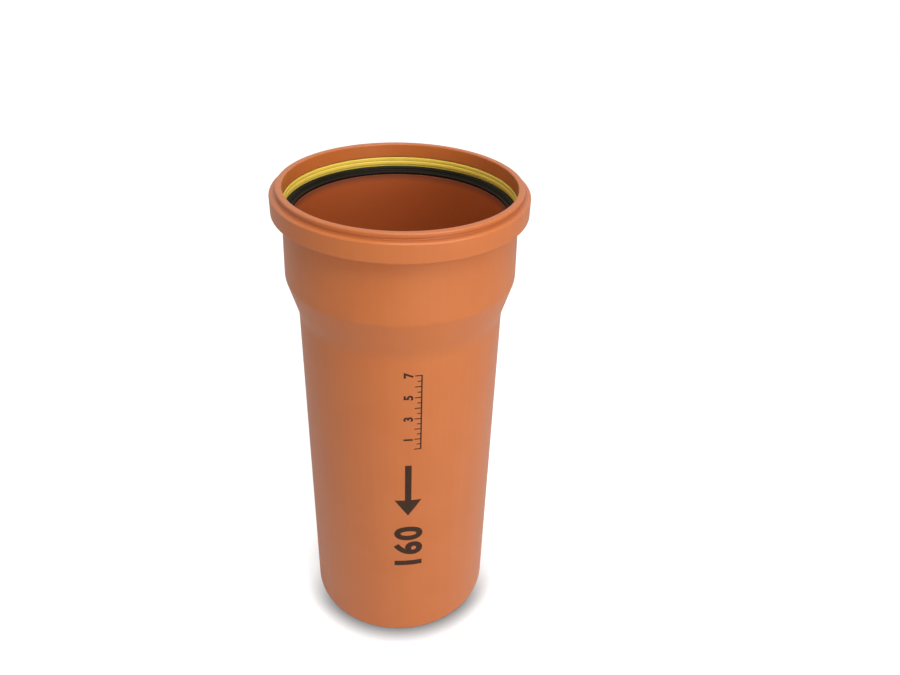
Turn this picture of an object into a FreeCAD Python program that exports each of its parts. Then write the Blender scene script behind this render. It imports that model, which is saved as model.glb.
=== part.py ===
import FreeCAD
import Part
import Sketcher
import os

# Sewer drain pipe of nominal size 160: a plain pipe whose upper end is widened into a
# socket. The socket's groove holds a yellow retaining ring and, below it, a rubber seal.
# The pipe stands on its cut end: +Z is the pipe's axis and z = 0 is the cut end.
# Sizes are in millimetres. A "drop" is a depth below the top of the socket's mouth, and
# a "rise" is how far a surface stands out from the outside of the plain pipe.

SIZES = [
    # Plain pipe
    ("pipe_outer_radius", 80.0, "outside of the plain pipe"),
    ("pipe_wall", 4.7, "wall of the plain pipe"),
    ("overall_length", 400.0, "cut end to mouth"),
    # Socket, outside
    ("lip_rise", 10.4, "outside of the thin lip at the mouth"),
    ("lip_drop", 4.3, "foot of the lip's outside wall"),
    ("shoulder_drop", 4.9, "where the shoulder meets the band"),
    ("band_rise", 15.0, "outside of the band around the groove"),
    ("band_foot_drop", 19.2, "lower edge of the band"),
    ("barrel_rise", 7.1, "socket barrel just under the groove"),
    ("barrel_top_drop", 21.6, "top of the socket barrel"),
    ("barrel_foot_rise", 8.5, "socket barrel where the taper starts"),
    ("barrel_foot_drop", 69.5, "foot of the socket barrel"),
    ("taper_foot_drop", 99.7, "where the taper reaches the plain pipe"),
    # Socket, inside
    ("mouth_rise", 5.6, "inside of the lip"),
    ("mouth_depth", 10.7, "height of the lip's inside wall"),
    ("groove_rise", 10.4, "floor of the groove"),
    ("flank_drop", 16.6, "where the groove's lower flank starts"),
    ("flank_height", 8.6, "height of the groove's lower flank"),
    ("socket_clearance", 0.6, "gap between a mating pipe and the socket"),
    ("stop_top_drop", 80.0, "where the socket starts to narrow inside"),
    ("stop_foot_drop", 98.0, "where the inside reaches the pipe's bore"),
    # Rounded edges
    ("lip_round", 1.1, "outer edge of the lip"),
    ("mouth_round", 1.0, "inner edge of the lip"),
    ("neck_round", 0.6, "hollow between lip and shoulder"),
    ("shoulder_round", 1.7, "top edge of the band"),
    ("band_foot_round", 0.8, "lower edge of the band"),
    ("barrel_top_round", 3.5, "hollow above the socket barrel"),
    ("barrel_foot_round", 15.0, "start of the taper"),
    ("taper_foot_round", 40.0, "end of the taper"),
    # Retaining ring
    ("seat_clearance", 0.3, "gap around the rings in the groove"),
    ("ring_height", 7.4, "height of the retaining ring"),
    ("ridge_rise", 5.3, "inside of the ring's two ridges"),
    ("ridge_height", 2.2, "height of each ridge"),
    ("ridge_foot", 1.5, "height of the lower ridge above the ring's foot"),
    ("furrow_depth", 0.8, "how far the ring steps back between and below its ridges"),
    ("ridge_round", 0.6, "edges of the ridges"),
    # Seal
    ("seal_lip_rise", 0.7, "inside of the lip, folded back as by a mating pipe"),
    ("seal_top_rise", 5.0, "inside of the seal where it meets the ring"),
    ("crease_rise", 4.0, "hollow above the seal's ledge"),
    ("crease_fall", 2.9, "how far that hollow is under the ring"),
    ("ledge_rise", 1.9, "ledge around the inside of the seal"),
    ("ledge_fall", 3.1, "how far the ledge is under the ring"),
    ("lip_tip_fall", 3.9, "how far the lip's tip is under the ring"),
    ("seal_height", 5.6, "height of the seal"),
    ("ledge_round", 0.5, "edge of the ledge"),
    ("tip_round", 0.4, "edges of the lip's tip"),
]

# Each outline is closed, and its corners are (rise, height, name of the edge's rounding).
AXIS_TO_PIPE = "sizes.pipe_outer_radius + "
MOUTH = "sizes.overall_length"
BORE = "-sizes.pipe_wall"
SOCKET = "sizes.socket_clearance"
RING_TOP = MOUTH + " - sizes.mouth_depth - sizes.seat_clearance"
RING_FOOT = RING_TOP + " - sizes.ring_height"
RING_BACK = "sizes.groove_rise - sizes.seat_clearance"
FURROW = "sizes.ridge_rise + sizes.furrow_depth"
FLANK_RUN = "(sizes.groove_rise - sizes.socket_clearance)"
FLANK_LENGTH = "sqrt(" + FLANK_RUN + " ^ 2 + sizes.flank_height ^ 2)"
FLANK_GAP = "sizes.seat_clearance * " + FLANK_LENGTH + " / sizes.flank_height"
SEAL_FOOT = RING_FOOT + " - sizes.seal_height"


def flank_rise(height):
    """Rise of the rings' sloping backs at a height, one clearance off the groove's flank."""
    below = "(sizes.overall_length - sizes.flank_drop - (" + height + "))"
    flank = "sizes.groove_rise - " + below + " * " + FLANK_RUN + " / sizes.flank_height"
    return flank + " - " + FLANK_GAP


PIPE = [
    (BORE, "0", None),
    ("0", "0", None),
    ("0", MOUTH + " - sizes.taper_foot_drop", "taper_foot_round"),
    ("sizes.barrel_foot_rise", MOUTH + " - sizes.barrel_foot_drop", "barrel_foot_round"),
    ("sizes.barrel_rise", MOUTH + " - sizes.barrel_top_drop", "barrel_top_round"),
    ("sizes.band_rise", MOUTH + " - sizes.band_foot_drop", "band_foot_round"),
    ("sizes.band_rise", MOUTH + " - sizes.shoulder_drop", "shoulder_round"),
    ("sizes.lip_rise", MOUTH + " - sizes.lip_drop", "neck_round"),
    ("sizes.lip_rise", MOUTH, "lip_round"),
    ("sizes.mouth_rise", MOUTH, "mouth_round"),
    ("sizes.mouth_rise", MOUTH + " - sizes.mouth_depth", None),
    ("sizes.groove_rise", MOUTH + " - sizes.mouth_depth", None),
    ("sizes.groove_rise", MOUTH + " - sizes.flank_drop", None),
    (SOCKET, MOUTH + " - sizes.flank_drop - sizes.flank_height", None),
    (SOCKET, MOUTH + " - sizes.stop_top_drop", None),
    (BORE, MOUTH + " - sizes.stop_foot_drop", None),
]

RING = [
    (flank_rise(RING_FOOT), RING_FOOT, None),
    (RING_BACK, MOUTH + " - sizes.flank_drop + sizes.seat_clearance", None),
    (RING_BACK, RING_TOP, None),
    ("sizes.ridge_rise", RING_TOP, "ridge_round"),
    ("sizes.ridge_rise", RING_TOP + " - sizes.ridge_height", "ridge_round"),
    (FURROW, RING_TOP + " - sizes.ridge_height", None),
    (FURROW, RING_FOOT + " + sizes.ridge_foot + sizes.ridge_height", None),
    ("sizes.ridge_rise", RING_FOOT + " + sizes.ridge_foot + sizes.ridge_height", "ridge_round"),
    ("sizes.ridge_rise", RING_FOOT + " + sizes.ridge_foot", "ridge_round"),
    (FURROW, RING_FOOT + " + sizes.ridge_foot / 2", None),
    (FURROW, RING_FOOT, None),
]

SEAL = [
    ("sizes.seal_top_rise", RING_FOOT, None),
    (flank_rise(RING_FOOT), RING_FOOT, None),
    (flank_rise(SEAL_FOOT), SEAL_FOOT, None),
    ("sizes.seal_lip_rise", SEAL_FOOT, "tip_round"),
    ("sizes.seal_lip_rise", RING_FOOT + " - sizes.lip_tip_fall", None),
    ("sizes.ledge_rise", RING_FOOT + " - sizes.ledge_fall", "ledge_round"),
    ("sizes.crease_rise", RING_FOOT + " - sizes.crease_fall", None),
]

doc = FreeCAD.newDocument("drain_pipe")
sheet = doc.addObject("Spreadsheet::Sheet", "sizes")
for row, (alias, value, note) in enumerate(SIZES, start=1):
    sheet.set("A%d" % row, alias)
    sheet.set("B%d" % row, str(value))
    sheet.set("C%d" % row, note)
    sheet.setAlias("B%d" % row, alias)
doc.recompute()


def origin_plane(body, role):
    for feature in body.Origin.OriginFeatures:
        if feature.Role == role:
            return feature
    raise RuntimeError("no origin plane " + role)


def draw_outline(body, name, outline):
    """A closed outline in the XZ plane, every corner placed by sheet sizes."""
    sketch = body.newObject("Sketcher::SketchObject", name)
    sketch.AttachmentSupport = [(origin_plane(body, "XZ_Plane"), "")]
    sketch.MapMode = "FlatFace"
    doc.recompute()
    corners = []
    for rise, height, rounding in outline:
        radius = float(sketch.evalExpression(AXIS_TO_PIPE + rise))
        corners.append((radius, float(sketch.evalExpression(height))))
    count = len(corners)
    for i in range(count):
        start = FreeCAD.Vector(corners[i][0], corners[i][1], 0)
        end = FreeCAD.Vector(corners[(i + 1) % count][0], corners[(i + 1) % count][1], 0)
        sketch.addGeometry(Part.LineSegment(start, end), False)
    for i in range(count):
        sketch.addConstraint(Sketcher.Constraint("Coincident", i, 2, (i + 1) % count, 1))
    for i, (rise, height, rounding) in enumerate(outline):
        across = sketch.addConstraint(Sketcher.Constraint("DistanceX", -1, 1, i, 1, corners[i][0]))
        sketch.renameConstraint(across, "radius_%d" % i)
        sketch.setExpression("Constraints.radius_%d" % i, AXIS_TO_PIPE + rise)
        if height == "0":
            sketch.addConstraint(Sketcher.Constraint("PointOnObject", i, 1, -1))
        else:
            up = sketch.addConstraint(Sketcher.Constraint("DistanceY", -1, 1, i, 1, corners[i][1]))
            sketch.renameConstraint(up, "height_%d" % i)
            sketch.setExpression("Constraints.height_%d" % i, height)
    doc.recompute()
    return sketch, corners


def edge_at(shape, radius, height):
    """Names of the ring-shaped edges at this radius and height."""
    names = []
    for index, edge in enumerate(shape.Edges, start=1):
        point = edge.Vertexes[0].Point
        flat = abs(edge.BoundBox.ZMax - edge.BoundBox.ZMin) < 0.001
        near = abs((point.x ** 2 + point.y ** 2) ** 0.5 - radius) < 0.001
        if flat and near and abs(point.z - height) < 0.001:
            names.append("Edge%d" % index)
    if not names:
        raise RuntimeError("no edge at radius %.3f, height %.3f" % (radius, height))
    return names


def turned_piece(label, outline):
    """One piece turned about Z from its outline, its named edges then rounded."""
    body = doc.addObject("PartDesign::Body", label)
    body.Label = label
    sketch, corners = draw_outline(body, label + "_outline", outline)
    turned = body.newObject("PartDesign::Revolution", label + "_turned")
    turned.Profile = sketch
    turned.ReferenceAxis = (sketch, ["V_Axis"])
    turned.Angle = 360.0
    doc.recompute()
    solid = turned
    for i, (rise, height, rounding) in enumerate(outline):
        if rounding is None:
            continue
        edge_names = edge_at(solid.Shape, corners[i][0], corners[i][1])
        rounded = body.newObject("PartDesign::Fillet", "%s_round_%d" % (label, i))
        rounded.Base = (solid, edge_names)
        rounded.setExpression("Radius", "sizes." + rounding)
        body.Tip = rounded
        doc.recompute()
        solid = rounded
    body.Placement = FreeCAD.Placement(FreeCAD.Vector(0, 0, 0), FreeCAD.Rotation())
    return body


pieces = [
    turned_piece("pipe", PIPE),
    turned_piece("retaining_ring", RING),
    turned_piece("seal", SEAL),
]
doc.recompute()

for item in doc.Objects:
    if "Invalid" in item.State or "Error" in item.State:
        raise RuntimeError("%s is in state %s" % (item.Name, item.State))
for body in pieces:
    if body.Shape.isNull() or not body.Shape.isValid():
        raise RuntimeError("%s has no valid shape" % body.Label)

os.makedirs("parts", exist_ok=True)
for body in pieces:
    body.Shape.exportStep("parts/%s.step" % body.Label)
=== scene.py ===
import math

import bmesh
import bpy
from mathutils import Matrix


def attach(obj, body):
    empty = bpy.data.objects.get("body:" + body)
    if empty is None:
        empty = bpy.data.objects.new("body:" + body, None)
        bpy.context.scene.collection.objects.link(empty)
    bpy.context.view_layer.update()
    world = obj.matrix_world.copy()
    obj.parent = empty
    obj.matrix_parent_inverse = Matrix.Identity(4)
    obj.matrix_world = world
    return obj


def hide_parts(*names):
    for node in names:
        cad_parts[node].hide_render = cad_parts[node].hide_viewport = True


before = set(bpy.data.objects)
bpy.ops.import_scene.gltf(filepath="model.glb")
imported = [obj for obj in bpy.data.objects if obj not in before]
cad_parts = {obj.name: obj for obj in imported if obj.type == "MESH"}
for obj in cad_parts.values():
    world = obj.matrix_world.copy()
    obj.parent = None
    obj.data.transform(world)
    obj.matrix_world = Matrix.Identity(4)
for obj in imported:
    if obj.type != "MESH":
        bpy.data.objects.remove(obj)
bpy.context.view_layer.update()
scene = bpy.context.scene

# ---------------------------------------------------------------- pipe
# The pipe is one length of extruded uPVC. Its upper end was heated and formed over the
# seal into a socket: a thin lip, a hollow neck, a band around the groove, a rounded
# underside, the socket barrel and a taper down to the plain pipe.

PIPE_RADIUS = 0.080
PIPE_WALL = 0.0047
PIPE_LENGTH = 0.400

LIP_RISE = 0.0104
NECK_HEIGHT = 0.3957
BAND_RISE = 0.0150
MOUTH_RISE = 0.0056
GROOVE_TOP = 0.3893
SOCKET_CLEARANCE = 0.0006

TURNING_SEGMENTS = 384
CORNER_STEPS = 7


def put(tree, kind, inputs=None, **settings):
    """Add one node to a tree. Each input is given a value, or another node's output."""
    node = tree.nodes.new(kind)
    for name, value in settings.items():
        setattr(node, name, value)
    for name, value in (inputs or {}).items():
        if isinstance(value, bpy.types.NodeSocket):
            tree.links.new(value, node.inputs[name])
        else:
            node.inputs[name].default_value = value
    return node


def turning_tree(name, material):
    """Geometry nodes that round an outline's corners and turn it about the pipe's axis."""
    tree = bpy.data.node_groups.new(name, "GeometryNodeTree")

    def add_input(label, kind, value=None):
        socket = tree.interface.new_socket(label, in_out="INPUT", socket_type=kind)
        if value is not None:
            socket.default_value = value

    add_input("Outline", "NodeSocketGeometry")
    add_input("Turning Radius", "NodeSocketFloat", PIPE_RADIUS)
    add_input("Segments", "NodeSocketInt", TURNING_SEGMENTS)
    add_input("Corner Steps", "NodeSocketInt", CORNER_STEPS)
    add_input("Material", "NodeSocketMaterial", material)
    tree.interface.new_socket("Piece", in_out="OUTPUT", socket_type="NodeSocketGeometry")
    given = put(tree, "NodeGroupInput").outputs
    # The sweep hangs its profile upside down, so the outline is turned over first.
    upright = put(tree, "GeometryNodeTransform",
                  {"Geometry": given["Outline"], "Rotation": (math.pi, 0.0, 0.0)})
    curve = put(tree, "GeometryNodeMeshToCurve", {"Mesh": upright.outputs["Geometry"]})
    rounding = put(tree, "GeometryNodeInputNamedAttribute", {"Name": "rounding"}, data_type="FLOAT")
    profile = put(tree, "GeometryNodeFilletCurve",
                  {"Curve": curve.outputs["Curve"], "Radius": rounding.outputs["Attribute"],
                   "Count": given["Corner Steps"], "Limit Radius": True}, mode="POLY")
    path = put(tree, "GeometryNodeCurvePrimitiveCircle",
               {"Radius": given["Turning Radius"], "Resolution": given["Segments"]})
    sweep = put(tree, "GeometryNodeCurveToMesh",
                {"Curve": path.outputs["Curve"], "Profile Curve": profile.outputs["Curve"]})
    smooth = put(tree, "GeometryNodeSetShadeSmooth", {"Geometry": sweep.outputs["Mesh"]})
    real = put(tree, "GeometryNodeRealizeInstances", {"Geometry": smooth.outputs["Geometry"]})
    coat = put(tree, "GeometryNodeSetMaterial",
               {"Geometry": real.outputs["Geometry"], "Material": given["Material"]})
    put(tree, "NodeGroupOutput", {"Piece": coat.outputs["Geometry"]})
    return tree


def turned(name, outline, material):
    """A closed ring-shaped piece. Its outline's corners are (how far out from the plain
    pipe's outside, how far above the cut end, rounding), all in metres."""
    mesh = bpy.data.meshes.new(name + "_outline")
    count = len(outline)
    mesh.from_pydata([(rise, height, 0.0) for rise, height, rounding in outline],
                     [(i, (i + 1) % count) for i in range(count)], [])
    rounding_of = mesh.attributes.new("rounding", "FLOAT", "POINT")
    for i, corner in enumerate(outline):
        rounding_of.data[i].value = corner[2]
    drawing = bpy.data.objects.new(name + "_outline", mesh)
    scene.collection.objects.link(drawing)

    turning = drawing.modifiers.new("turning", "NODES")
    turning.node_group = turning_tree(name + "_turning", material)
    flat_first = drawing.modifiers.new("flats_before_corners", "WEIGHTED_NORMAL")
    flat_first.weight = 100
    depsgraph = bpy.context.evaluated_depsgraph_get()
    piece_mesh = bpy.data.meshes.new_from_object(drawing.evaluated_get(depsgraph))
    piece_mesh.name = name
    piece = bpy.data.objects.new(name, piece_mesh)
    scene.collection.objects.link(piece)
    bpy.data.objects.remove(drawing)
    return piece


def new_plastic(name, roughness, specular):
    """A new material: its tree, its shader, and the piece's own coordinates."""
    material = bpy.data.materials.new(name)
    material.use_nodes = True
    tree = material.node_tree
    shader = tree.nodes["Principled BSDF"]
    shader.inputs["Roughness"].default_value = roughness
    shader.inputs["Specular IOR Level"].default_value = specular
    place = put(tree, "ShaderNodeTexCoord").outputs["Object"]
    return material, tree, shader, place


def noise(tree, place, scale, detail, roughness=0.5):
    return put(tree, "ShaderNodeTexNoise", {"Vector": place, "Scale": scale, "Detail": detail,
                                            "Roughness": roughness}).outputs["Fac"]


def ramp(tree, value, start, end, low=0.0, high=1.0):
    """Low at start and high at end, straight between them and level beyond them."""
    return put(tree, "ShaderNodeMapRange",
               {"Value": value, "From Min": start, "From Max": end,
                "To Min": low, "To Max": high}).outputs["Result"]


def sum_or_product(tree, operation, *values, clamped=False):
    return put(tree, "ShaderNodeMath", dict(enumerate(values)),
               operation=operation, use_clamp=clamped).outputs[0]


def mixed_colour(tree, share, first, second):
    return put(tree, "ShaderNodeMix", {"Factor": share, "A": first, "B": second},
               data_type="RGBA").outputs["Result"]


def roughen(tree, shader, height, strength):
    bump = put(tree, "ShaderNodeBump", {"Height": height, "Strength": strength, "Distance": 0.0002})
    tree.links.new(bump.outputs["Normal"], shader.inputs["Normal"])


PIPE_COLOUR = (0.585, 0.160, 0.035, 1.0)
PIPE_PALE = (0.598, 0.169, 0.040, 1.0)
PIPE_DEEP = (0.572, 0.151, 0.031, 1.0)
# The next two colours are painted shade: the bore's darker lining, and the shadow just under the
# seal.
SHADED_BORE_COLOUR = (0.480, 0.110, 0.027, 1.0)
SEAL_SHADOW_COLOUR = (0.220, 0.050, 0.014, 1.0)
EDGE_COLOUR = (0.680, 0.235, 0.085, 1.0)
# The next colour is painted shade in the hollow of the neck.
NECK_SHADE_COLOUR = (0.330, 0.080, 0.020, 1.0)

upvc, tree, shader, place = new_plastic("orange_brown_upvc", 0.42, 0.5)

# Cloudy pigment a few centimetres across, faint streaks along the pipe from the
# extruder's die, and the fine grain of the satin surface.
clouds = noise(tree, place, 28.0, 3.0, 0.45)
drawn_out = put(tree, "ShaderNodeMapping", {"Vector": place, "Scale": (260.0, 260.0, 3.0)})
streaks = noise(tree, drawn_out.outputs["Vector"], 1.0, 2.0)
grain = noise(tree, place, 900.0, 2.0)

cloud_share = sum_or_product(tree, "MULTIPLY", clouds, 0.70)
pigment = sum_or_product(tree, "MULTIPLY_ADD", streaks, 0.30, cloud_share)
tint = put(tree, "ShaderNodeValToRGB", {"Fac": pigment})
tint.color_ramp.elements[0].position = 0.30
tint.color_ramp.elements[0].color = PIPE_DEEP
tint.color_ramp.elements[1].position = 0.70
tint.color_ramp.elements[1].color = PIPE_PALE
middle = tint.color_ramp.elements.new(0.5)
middle.color = PIPE_COLOUR

# Faces below the seal that look towards the axis are the bore. It is painted deeper in colour than
# the outside, a painted shade inside the pipe, and darker still in a line just under the seal, a
# painted shadow of the seal's lip.
height = put(tree, "ShaderNodeSeparateXYZ", {0: place}).outputs["Z"]
level_place = put(tree, "ShaderNodeVectorMath", {0: place, 1: (1.0, 1.0, 0.0)},
                  operation="MULTIPLY").outputs[0]
normal = put(tree, "ShaderNodeTexCoord").outputs["Normal"]
outward = put(tree, "ShaderNodeVectorMath", {0: level_place, 1: normal},
              operation="DOT_PRODUCT").outputs["Value"]
inward = ramp(tree, outward, 0.02, -0.02)
in_bore = sum_or_product(tree, "MULTIPLY", inward, ramp(tree, height, 0.3800, 0.3765))
near_seal = ramp(tree, height, 0.3700, 0.3750)
painted_bore_shade = mixed_colour(tree, near_seal, SHADED_BORE_COLOUR, SEAL_SHADOW_COLOUR)
skin = mixed_colour(tree, in_bore, tint.outputs["Color"], painted_bore_shade)

# The sharp edges are rubbed a little paler.
sharpness = put(tree, "ShaderNodeNewGeometry").outputs["Pointiness"]
skin = mixed_colour(tree, ramp(tree, sharpness, 0.53, 0.62, high=0.45), skin, EDGE_COLOUR)

# The hollow between the lip and the shoulder is painted darker, a painted shade in the crease. It
# is found by its distance from the neck, in the section plane of (distance from the axis, height).
from_axis = put(tree, "ShaderNodeVectorMath", {0: level_place}, operation="LENGTH").outputs["Value"]
section = put(tree, "ShaderNodeCombineXYZ", {"X": from_axis, "Y": height}).outputs[0]
from_neck = put(tree, "ShaderNodeVectorMath",
                {0: section, 1: (PIPE_RADIUS + LIP_RISE, NECK_HEIGHT, 0.0)},
                operation="DISTANCE").outputs["Value"]
skin = mixed_colour(tree, ramp(tree, from_neck, 0.0026, 0.0006, high=0.70), skin, NECK_SHADE_COLOUR)
tree.links.new(skin, shader.inputs["Base Color"])

polish = ramp(tree, clouds, 0.0, 1.0, 0.32, 0.38)
# The band under the seal where its shadow is painted is also made more matt.
seal_shadow_band = sum_or_product(tree, "MULTIPLY", in_bore, near_seal)
matt = sum_or_product(tree, "MULTIPLY_ADD", seal_shadow_band, 0.45, polish, clamped=True)
tree.links.new(matt, shader.inputs["Roughness"])
roughen(tree, shader, sum_or_product(tree, "MULTIPLY_ADD", streaks, 0.5, grain), 0.05)

PIPE_OUTLINE = [
    (-PIPE_WALL, 0.0, 0.0004),
    (0.0, 0.0, 0.0005),
    (0.0, 0.3003, 0.040),
    (0.0085, 0.3305, 0.015),
    (0.0071, 0.3784, 0.0032),
    (BAND_RISE, 0.3808, 0.0008),
    (BAND_RISE, 0.3951, 0.0017),
    (LIP_RISE, NECK_HEIGHT, 0.0006),
    (LIP_RISE, PIPE_LENGTH, 0.0011),
    (MOUTH_RISE, PIPE_LENGTH, 0.0010),
    (MOUTH_RISE, GROOVE_TOP, 0.0003),
    (0.0104, GROOVE_TOP, 0.0004),
    (0.0104, 0.3834, 0.0004),
    (SOCKET_CLEARANCE, 0.3753, 0.0002),
    (SOCKET_CLEARANCE, 0.3200, 0.006),
    (-PIPE_WALL, 0.3020, 0.006),
]
pipe = turned("drain_pipe", PIPE_OUTLINE, upvc)
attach(pipe, "root")
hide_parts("pipe")

# ---------------------------------------------------------------- print
# A strip printed along the pipe in dark brown ink: the pipe's outside diameter in plain
# numbers, an arrow for the direction of flow, towards the plain end, and a short rule
# with a mark about every half centimetre. The ink is thin and has worn a little.

INK_PROUD = 0.00005
INK_STEP = 0.0015
PRINT_BOTTOM = 0.0795
PRINT_RIGHT = 0.0170

CAP_SHARE = 0.70
SIZE_HEIGHT = 0.0215
RULE_NUMBER_HEIGHT = 0.0066

ARROW_TIP = 0.064
ARROW_END = 0.118
HEAD_LENGTH = 0.0170
HEAD_WIDTH = 0.0220
SHAFT_WIDTH = 0.0052

RULE_START = 0.134
RULE_LENGTH = 0.0700
RULE_BASE = 0.0010
RULE_WIDTH = 0.0011
RULE_MARKS = 15
MARK_WIDTH = 0.0009
MARK_SPACING = 0.0049357


def flat_text(text, height, heavier, apart=1.0):
    """A bmesh of plain numbers on one line, from (0, 0), with the given cap height."""
    curve = bpy.data.curves.new("numbers_" + text, "FONT")
    curve.body = text
    curve.size = height / CAP_SHARE
    curve.offset = heavier
    curve.space_character = apart
    curve.resolution_u = 5
    holder = bpy.data.objects.new("numbers_" + text, curve)
    scene.collection.objects.link(holder)
    depsgraph = bpy.context.evaluated_depsgraph_get()
    mesh = bpy.data.meshes.new_from_object(holder.evaluated_get(depsgraph))
    flat = bmesh.new()
    flat.from_mesh(mesh)
    bpy.data.objects.remove(holder)
    bpy.data.meshes.remove(mesh)
    return flat


def add_flat(sheet, flat, along, across):
    """Copy a flat bmesh into the sheet, moved by (along, across)."""
    copies = {vert: sheet.verts.new((vert.co.x + along, vert.co.y + across, 0.0))
              for vert in flat.verts}
    for face in flat.faces:
        sheet.faces.new([copies[vert] for vert in face.verts])
    flat.free()


def add_shape(sheet, corners):
    sheet.faces.new([sheet.verts.new((along, across, 0.0)) for along, across in corners])


def add_bar(sheet, along, across, length, width):
    add_shape(sheet, [(along, across), (along + length, across),
                      (along + length, across + width), (along, across + width)])


def wrap(flat, radius):
    """Bend the flat sheet round the pipe, its baseline on the right of the front."""
    for vert in flat.verts:
        turn = (PRINT_RIGHT - vert.co.y) / PIPE_RADIUS
        vert.co = (radius * math.sin(turn), -radius * math.cos(turn), PRINT_BOTTOM + vert.co.x)


# The sheet is drawn flat: x runs up the pipe and y to the left round it.
inked = bmesh.new()
add_flat(inked, flat_text("160", SIZE_HEIGHT, 0.0012, 1.15), 0.0, 0.0)
head_foot = ARROW_TIP + HEAD_LENGTH
add_shape(inked, [(ARROW_TIP, HEAD_WIDTH / 2), (head_foot, 0.0), (head_foot, HEAD_WIDTH)])
add_bar(inked, head_foot, (HEAD_WIDTH - SHAFT_WIDTH) / 2, ARROW_END - head_foot, SHAFT_WIDTH)
add_bar(inked, RULE_START, RULE_BASE, RULE_LENGTH, RULE_WIDTH)
for mark in range(RULE_MARKS):
    tall = 0.0046 if mark % 2 == 0 else 0.0026
    add_bar(inked, RULE_START + mark * MARK_SPACING, RULE_BASE + RULE_WIDTH, MARK_WIDTH, tall)
for number in range(1, 8, 2):
    numeral = flat_text(str(number), RULE_NUMBER_HEIGHT, 0.00035)
    add_flat(inked, numeral, RULE_START + number * 0.010 - 0.0024, 0.0082)

# The ink is cut into narrow strips, so that it can bend round the wall.
widest = max(vert.co.y for vert in inked.verts)
cut = INK_STEP
while cut < widest:
    bmesh.ops.bisect_plane(inked, geom=inked.verts[:] + inked.edges[:] + inked.faces[:],
                           plane_co=(0.0, cut, 0.0), plane_no=(0.0, 1.0, 0.0))
    cut += INK_STEP
wrap(inked, PIPE_RADIUS + INK_PROUD)
bmesh.ops.recalc_face_normals(inked, faces=inked.faces[:])
inked.normal_update()
for face in inked.faces:
    middle_point = face.calc_center_median()
    if face.normal.x * middle_point.x + face.normal.y * middle_point.y < 0.0:
        face.normal_flip()

# The ink's underside is sunk as far into the wall as its top stands proud.
lower = bmesh.ops.extrude_face_region(inked, geom=inked.faces[:], use_keep_orig=True)
sunk = (PIPE_RADIUS - INK_PROUD) / (PIPE_RADIUS + INK_PROUD)
for item in lower["geom"]:
    if isinstance(item, bmesh.types.BMVert):
        item.co.x *= sunk
        item.co.y *= sunk
bmesh.ops.recalc_face_normals(inked, faces=inked.faces[:])
ink_mesh = bpy.data.meshes.new("printed_strip")
inked.to_mesh(ink_mesh)
inked.free()
printed = bpy.data.objects.new("printed_strip", ink_mesh)
scene.collection.objects.link(printed)

INK = (0.044, 0.018, 0.008, 1.0)
WORN_INK = (0.110, 0.038, 0.013, 1.0)

ink, tree, shader, place = new_plastic("brown_ink", 0.5, 0.2)
patches = noise(tree, place, 420.0, 4.0, 0.7)
ink_colour = mixed_colour(tree, ramp(tree, patches, 0.56, 0.72), INK, WORN_INK)
tree.links.new(ink_colour, shader.inputs["Base Color"])
tree.links.new(ramp(tree, patches, 0.0, 1.0, 0.42, 0.58), shader.inputs["Roughness"])
ink_mesh.materials.append(ink)
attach(printed, "root")

# ---------------------------------------------------------------- retaining ring
# A hard polypropylene ring, moulded in yellow, that holds the seal in its groove. Two
# ridges run round its inside, and a thin skirt below them reaches the rubber.

YELLOW = (0.930, 0.700, 0.095, 1.0)
DULL_YELLOW = (0.70, 0.50, 0.07, 1.0)
RIDGE_RISE = 0.0053

polypropylene, tree, shader, place = new_plastic("yellow_polypropylene", 0.38, 0.5)
blotches = noise(tree, place, 60.0, 3.0)
ring_colour = mixed_colour(tree, ramp(tree, blotches, 0.45, 0.75, high=0.18), YELLOW, DULL_YELLOW)
tree.links.new(ring_colour, shader.inputs["Base Color"])
roughen(tree, shader, blotches, 0.04)

RING_OUTLINE = [
    (0.00789, 0.3816, 0.0003),
    (0.0101, 0.3837, 0.0003),
    (0.0101, 0.3886, 0.0003),
    (RIDGE_RISE, 0.3886, 0.0007),
    (RIDGE_RISE, 0.3864, 0.0005),
    (0.00565, 0.3860, 0.0002),
    (0.00565, 0.3855, 0.0002),
    (RIDGE_RISE, 0.3851, 0.0005),
    (RIDGE_RISE, 0.3831, 0.0006),
    (0.0061, 0.38235, 0.0004),
    (0.0061, 0.3811, 0.0002),
]
ring = turned("yellow_ring", RING_OUTLINE, polypropylene)
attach(ring, "root")
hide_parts("retaining_ring")

# ---------------------------------------------------------------- seal
# The seal is a moulded ring of black rubber under the yellow one. Its lip leans in and
# down, and its heel lies along the groove's lower flank.

RUBBER_BLACK = (0.006, 0.006, 0.003, 1.0)
RUBBER_GREY = (0.014, 0.013, 0.008, 1.0)
# The next colour is painted shade on the lower part of the seal's lip.
SHADED_LIP_BROWN = (0.012, 0.003, 0.001, 1.0)
SEAL_FOOT = 0.3760

# The tip of the lip is painted browner and darker than the rest, a painted shade on its lower part.
rubber, tree, shader, place = new_plastic("black_rubber", 0.45, 0.14)
bloom = noise(tree, place, 90.0, 4.0)
plain_rubber = mixed_colour(tree, bloom, RUBBER_BLACK, RUBBER_GREY)
height = put(tree, "ShaderNodeSeparateXYZ", {0: place}).outputs["Z"]
seal_colour = mixed_colour(tree, ramp(tree, height, 0.3784, 0.3768), plain_rubber, SHADED_LIP_BROWN)
tree.links.new(seal_colour, shader.inputs["Base Color"])
roughen(tree, shader, bloom, 0.05)

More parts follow.
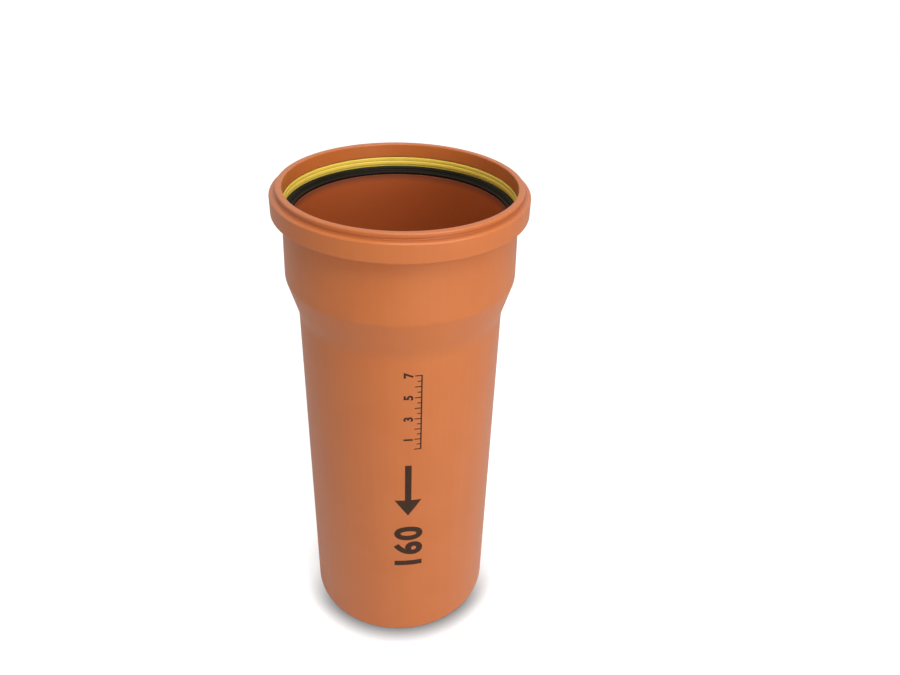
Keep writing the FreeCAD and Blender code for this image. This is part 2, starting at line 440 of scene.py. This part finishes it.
SEAL_OUTLINE = [
    (0.0050, 0.3811, 0.0003),
    (0.00789, 0.3816, 0.0002),
    (0.00130, SEAL_FOOT, 0.0001),
    (0.0007, SEAL_FOOT, 0.0003),
    (0.0007, 0.3777, 0.0004),
    (0.0019, 0.3785, 0.0005),
    (0.0038, 0.3787, 0.0004),
    (0.0043, 0.3794, 0.0002),
    (0.0037, 0.3798, 0.0003),
    (0.0038, 0.3803, 0.0003),
    (0.0046, 0.3806, 0.0002),
]
seal = turned("rubber_seal", SEAL_OUTLINE, rubber)
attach(seal, "root")
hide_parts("seal")

# ---------------------------------------------------------------- floor, lights and camera
# A plain white studio floor and an even white surround. Two soft lamps stand in front on
# the right, a weak one stands on the left, and one hangs above the front.

FLOOR_HALF = 15
WHITE = (1.0, 1.0, 1.0, 1.0)

floor_mesh = bpy.data.meshes.new("studio_floor")
floor_mesh.from_pydata([(-FLOOR_HALF, -FLOOR_HALF, 0), (FLOOR_HALF, -FLOOR_HALF, 0),
                        (FLOOR_HALF, FLOOR_HALF, 0), (-FLOOR_HALF, FLOOR_HALF, 0)],
                       [], [(0, 1, 2, 3)])
floor = bpy.data.objects.new("studio_floor", floor_mesh)
scene.collection.objects.link(floor)
paper, tree, sheet, place = new_plastic("studio_paper", 0.9, 0.1)
# Paper right beside the pipe is painted darker by an ambient occlusion node, a painted contact
# shadow.
# Behind the pipe most of that painted shadow is taken away again.
contact = put(tree, "ShaderNodeAmbientOcclusion", {"Distance": 0.021}, samples=16)
shadow = sum_or_product(tree, "POWER", contact.outputs["AO"], 2.4)
depth = put(tree, "ShaderNodeSeparateXYZ", {0: place}).outputs["Y"]
behind = put(tree, "ShaderNodeMapRange",
             {"Value": depth, "From Min": -0.060, "From Max": 0.0, "To Min": 0.0, "To Max": 0.75},
             interpolation_type="SMOOTHSTEP").outputs["Result"]
light_left = ramp(tree, behind, 0.0, 1.0, low=shadow)
# The camera sees paper that is mostly lit from within, so that it comes out white, and
# every other ray sees plain pale paper.
to_camera = put(tree, "ShaderNodeLightPath").outputs["Is Camera Ray"]
seen_paper = sum_or_product(tree, "MULTIPLY", light_left, 0.42)
tree.links.new(ramp(tree, to_camera, 0.0, 1.0, 0.78, seen_paper), sheet.inputs["Base Color"])
level = sum_or_product(tree, "MULTIPLY", light_left, 0.85)
glow = put(tree, "ShaderNodeEmission",
           {"Color": WHITE, "Strength": sum_or_product(tree, "MULTIPLY", to_camera, level)})
both = put(tree, "ShaderNodeAddShader", {0: sheet.outputs["BSDF"], 1: glow.outputs["Emission"]})
tree.links.new(both.outputs["Shader"], tree.nodes["Material Output"].inputs["Surface"])
floor_mesh.materials.append(paper)

# The camera sees the surround as white, and a gloss sees it nearly so.
world = bpy.data.worlds.new("white_surround")
scene.world = world
world.use_nodes = True
tree = world.node_tree
surround = tree.nodes["Background"]
surround.inputs["Color"].default_value = WHITE
surround.inputs["Strength"].default_value = 0.36
white = put(tree, "ShaderNodeBackground", {"Color": WHITE, "Strength": 1.0})
ray = put(tree, "ShaderNodeLightPath").outputs
mirrored = sum_or_product(tree, "MULTIPLY", ray["Is Glossy Ray"], 0.75)
blend = put(tree, "ShaderNodeMixShader",
            {"Fac": sum_or_product(tree, "MAXIMUM", ray["Is Camera Ray"], mirrored),
             1: surround.outputs["Background"], 2: white.outputs["Background"]})
tree.links.new(blend.outputs["Shader"], tree.nodes["World Output"].inputs["Surface"])


def lamp(name, place, target_height, size, power):
    """A square lamp that looks at the pipe's axis, at the given height."""
    light = bpy.data.lights.new(name, "AREA")
    light.shape = "SQUARE"
    light.size = size
    light.energy = power
    holder = bpy.data.objects.new(name, light)
    scene.collection.objects.link(holder)
    holder.location = place
    tilt = math.atan2(math.hypot(place[0], place[1]), place[2] - target_height)
    holder.rotation_euler = (tilt, 0.0, math.atan2(place[0], -place[1]))


lamp("key_lamp", (0.99, -0.83, 1.19), 0.25, 0.9, 7.2)
lamp("fill_lamp", (0.85, -1.30, 0.62), 0.30, 0.45, 6.4)
lamp("side_lamp", (-1.45, 0.39, 0.80), 0.25, 0.6, 1.6)
lamp("top_lamp", (0.08, -0.60, 1.62), 0.35, 0.6, 9.0)

# The camera stands close in front and looks steeply down, turned and rolled a little.
CAMERA_YAW = -4.364
CAMERA_PITCH = 32.275
CAMERA_ROLL = 2.435
camera_data = bpy.data.cameras.new("camera")
camera_data.sensor_width = 36.0
camera_data.lens = 30.424
camera = bpy.data.objects.new("camera", camera_data)
scene.collection.objects.link(camera)
camera.location = (0.0, -0.52928, 0.60102)
looking = (Matrix.Rotation(math.radians(CAMERA_YAW), 3, "Z")
           @ Matrix.Rotation(math.radians(90.0 - CAMERA_PITCH), 3, "X")
           @ Matrix.Rotation(math.radians(CAMERA_ROLL), 3, "Z"))
camera.rotation_euler = looking.to_euler()
scene.camera = camera

scene.view_settings.view_transform = "Standard"
